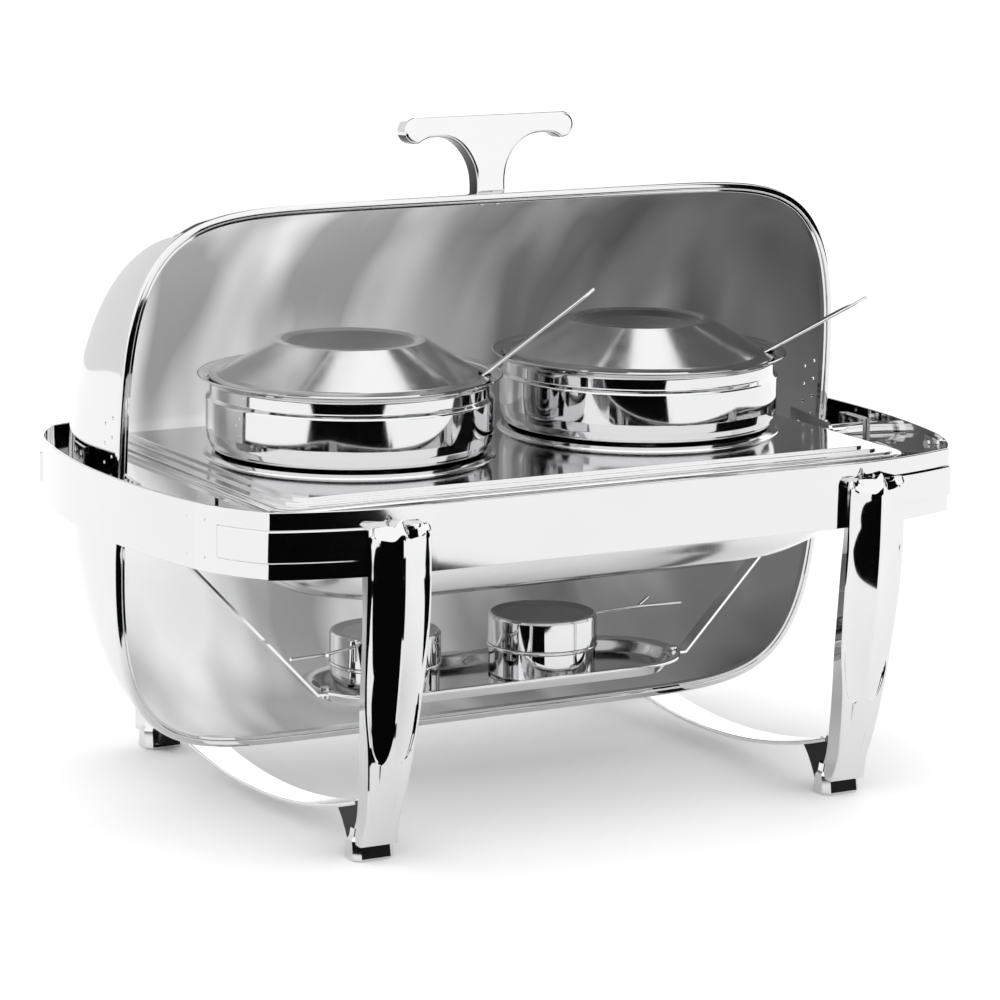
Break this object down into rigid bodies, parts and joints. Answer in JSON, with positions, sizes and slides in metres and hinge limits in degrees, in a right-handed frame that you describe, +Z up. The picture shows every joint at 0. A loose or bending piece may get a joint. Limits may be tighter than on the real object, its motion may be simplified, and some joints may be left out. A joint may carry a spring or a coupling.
{
  "type": "roll-top chafing dish",
  "caption": "Rectangular food warmer with a roll-back hood, soup pots with lids and ladles in a water pan, burners on a hung tray and four cast legs.",
  "frame": {"origin": "on the table, under the middle of the band", "axes": "+X to the right along the long side, -Y towards the guest, +Z up"},
  "size_m": [0.684, 0.472, 0.5227],
  "materials": {
    "polished_steel": "mirror-polished stainless sheet",
    "chromed_casting": "chrome-plated casting",
    "brushed_hood": "polished outside, satin inside",
    "fastener_steel": "plain stainless"
  },
  "bodies": {
    "stand": {"front_rail": "polished_steel", "rear_rail": "polished_steel", "corner_front_left": "chromed_casting", "corner_front_right": "chromed_casting", "corner_rear_left": "chromed_casting", "corner_rear_right": "chromed_casting", "end_strap_left": "polished_steel", "end_strap_right": "polished_steel", "seam_plates": "polished_steel", "seam_rivets": "fastener_steel", "leg_front_left": "chromed_casting", "leg_front_right": "chromed_casting", "leg_rear_left": "chromed_casting", "leg_rear_right": "chromed_casting", "leg_screws": "fastener_steel", "stretcher_left": "polished_steel", "stretcher_right": "polished_steel", "stretcher_screws": "fastener_steel", "pan_carrier": "polished_steel", "end_bracket_left": "polished_steel", "end_bracket_right": "polished_steel", "front_brackets": "polished_steel", "bracket_rivets": "fastener_steel", "pivot_bracket_left": "polished_steel", "pivot_bracket_right": "polished_steel", "pivot_pin_left": "fastener_steel", "pivot_pin_right": "fastener_steel", "pivot_washers": "fastener_steel", "pivot_screws": "fastener_steel", "water_pan": "polished_steel", "adaptor_plate": "polished_steel", "tray_arm_left": "polished_steel", "tray_arm_right": "polished_steel", "tray_screws": "fastener_steel", "fuel_tray": "polished_steel", "burner_cup_left": "polished_steel", "burner_cup_right": "polished_steel"},
    "hood": {"hood_shell": "brushed_hood", "hood_bead": "polished_steel", "hood_ear_left": "polished_steel", "hood_ear_right": "polished_steel", "ear_rivets": "fastener_steel", "hood_handle": "chromed_casting", "handle_nuts": "fastener_steel"},
    "soup_pot_left": {"pot_left": "polished_steel"},
    "pot_cover_left": {"pot_lid_left": "polished_steel"},
    "ladle_left": {"ladle_handle_left": "polished_steel", "ladle_bowl_left": "polished_steel"},
    "soup_pot_right": {"pot_right": "polished_steel"},
    "pot_cover_right": {"pot_lid_right": "polished_steel"},
    "ladle_right": {"ladle_handle_right": "polished_steel", "ladle_bowl_right": "polished_steel"},
    "snuffer_left": {"burner_cover_left": "polished_steel", "burner_grip_left": "polished_steel"},
    "snuffer_right": {"burner_cover_right": "polished_steel", "burner_grip_right": "polished_steel"}
  },
  "joints": [
    {"name": "hood_roll", "type": "hinge", "parent": "stand", "child": "hood", "pos_m": [0, 0, 0.247], "axis": [-1, 0, 0], "range_deg": [-85.3, 0]},
    {"name": "pot_lift_left", "type": "slide", "parent": "stand", "child": "soup_pot_left", "axis": [0, 0, 1], "range_m": [0, 0.025]},
    {"name": "lid_lift_left", "type": "slide", "parent": "soup_pot_left", "child": "pot_cover_left", "axis": [0, 0, 1], "range_m": [0, 0.03]},
    {"name": "ladle_slide_left", "type": "slide", "parent": "soup_pot_left", "child": "ladle_left", "axis": [0.6771, -0.3815, 0.6293], "range_m": [0, 0.02]},
    {"name": "pot_lift_right", "type": "slide", "parent": "stand", "child": "soup_pot_right", "axis": [0, 0, 1], "range_m": [0, 0.025]},
    {"name": "lid_lift_right", "type": "slide", "parent": "soup_pot_right", "child": "pot_cover_right", "axis": [0, 0, 1], "range_m": [0, 0.03]},
    {"name": "ladle_slide_right", "type": "slide", "parent": "soup_pot_right", "child": "ladle_right", "axis": [0.7583, -0.4273, 0.4924], "range_m": [0, 0.02]},
    {"name": "cover_lift_left", "type": "slide", "parent": "stand", "child": "snuffer_left", "axis": [0, 0, 1], "range_m": [0, 0.035]},
    {"name": "cover_lift_right", "type": "slide", "parent": "stand", "child": "snuffer_right", "axis": [0, 0, 1], "range_m": [0, 0.035]}
  ]
}
